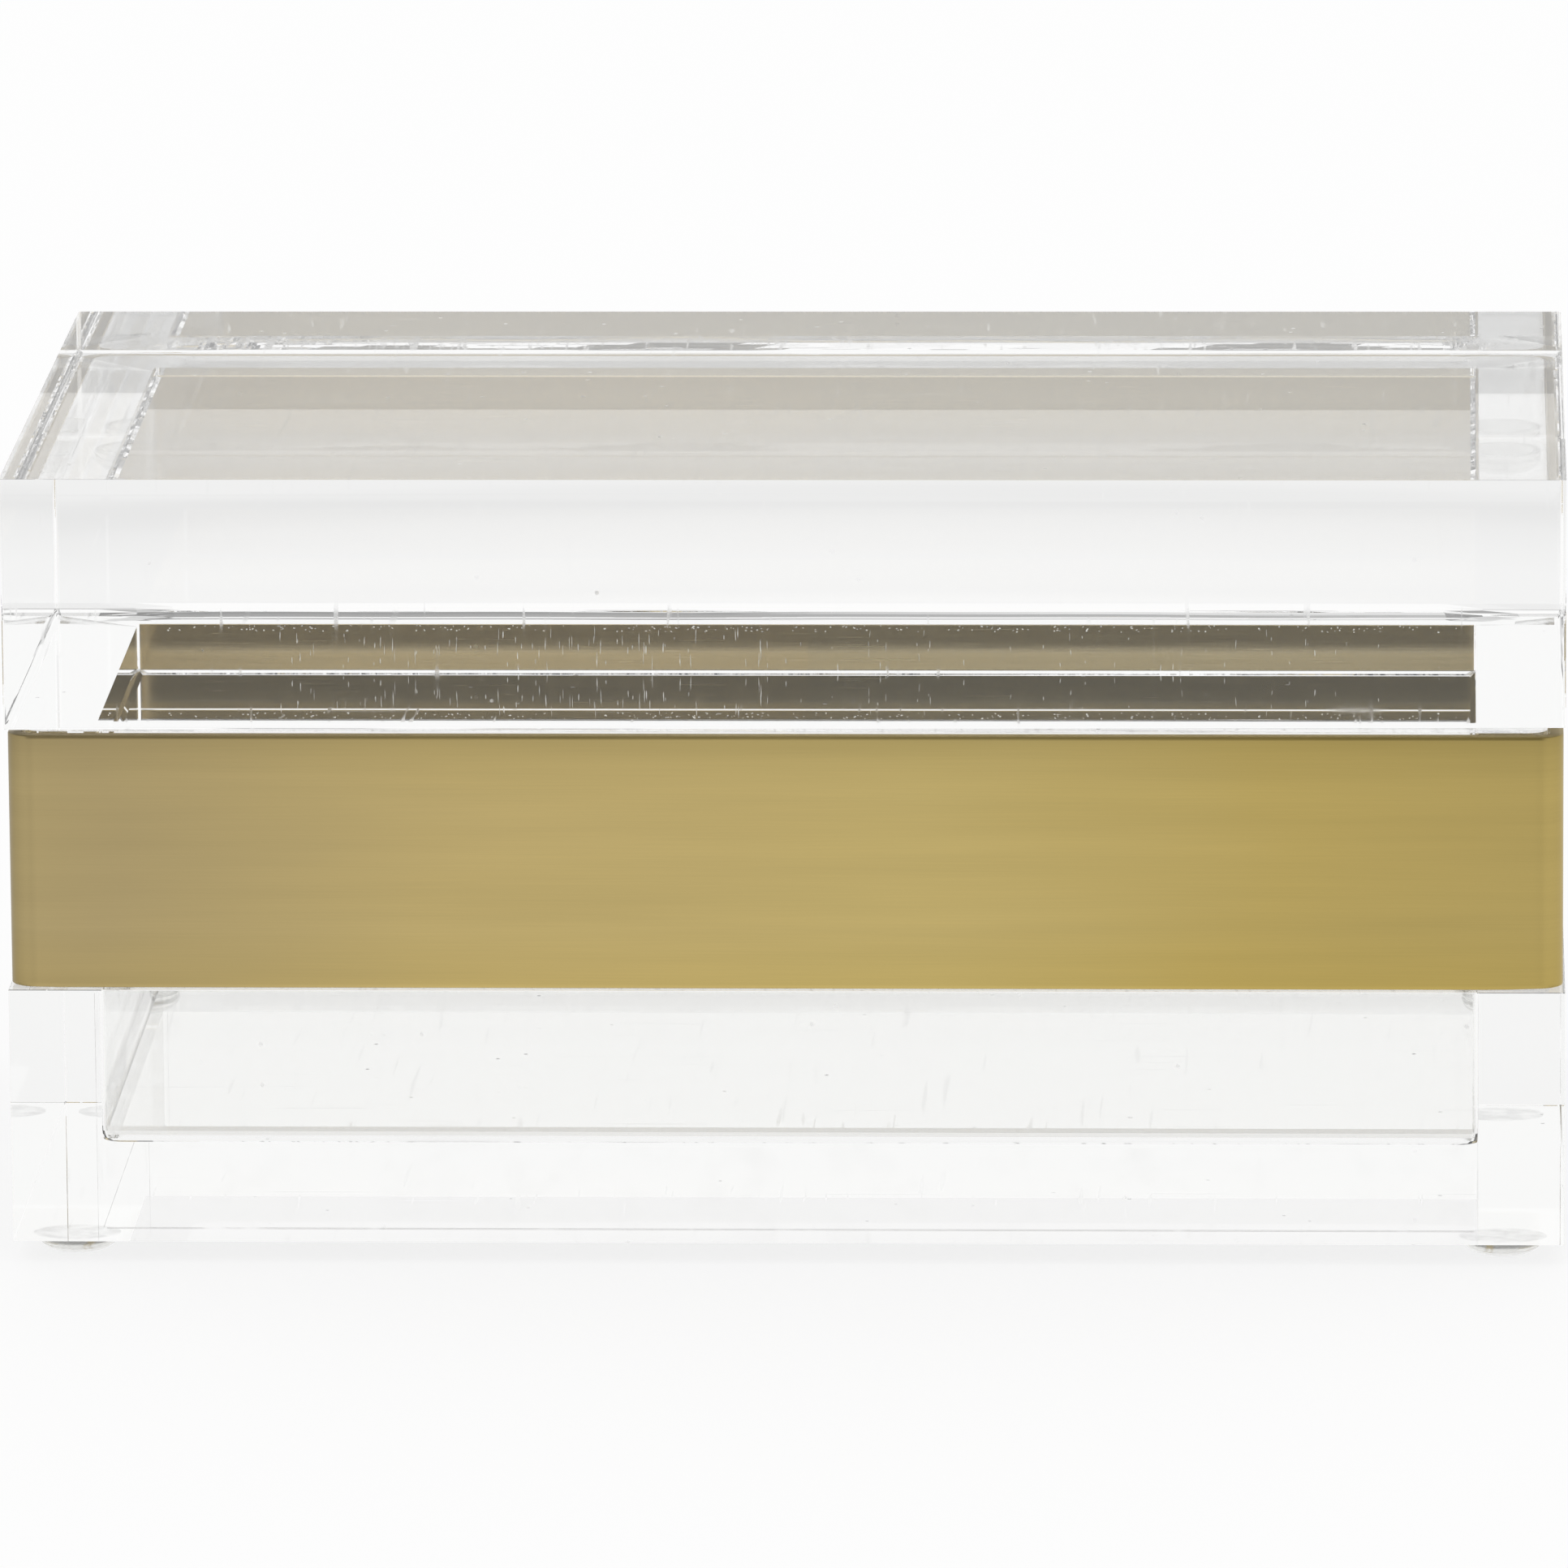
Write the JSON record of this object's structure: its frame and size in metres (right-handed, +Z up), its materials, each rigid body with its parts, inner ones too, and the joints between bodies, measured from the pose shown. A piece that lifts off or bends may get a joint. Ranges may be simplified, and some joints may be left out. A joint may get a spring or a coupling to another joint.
{
  "type": "clear acrylic box with lid",
  "caption": "Clear acrylic keepsake box on domed feet, with thick walls, a satin brass band round its middle and a solid lift-off lid located by a plug plate.",
  "frame": {"origin": "under the middle of the box, level with the tips of the feet it stands on", "axes": "+X along the width, to the right as seen from the front; the front faces -Y; +Z up"},
  "size_m": [0.2286, 0.1334, 0.1178],
  "materials": {
    "clear_acrylic": "polished, clear and colourless",
    "satin_brass": "satin, finely rubbed along its length",
    "clear_bumper": "clear moulded polyurethane"
  },
  "bodies": {
    "base": {"front_wall": "clear_acrylic", "back_wall": "clear_acrylic", "left_wall": "clear_acrylic", "right_wall": "clear_acrylic", "floor_plate": "clear_acrylic", "brass_band": "satin_brass", "front_left_foot": "clear_bumper", "front_right_foot": "clear_bumper", "back_left_foot": "clear_bumper", "back_right_foot": "clear_bumper"},
    "lid": {"lid_block": "clear_acrylic", "lid_plug": "clear_acrylic"}
  },
  "joints": [
    {"name": "lid_lift", "type": "slide", "parent": "base", "child": "lid", "axis": [0, 0, 1], "range_m": [0, 0.08]}
  ]
}
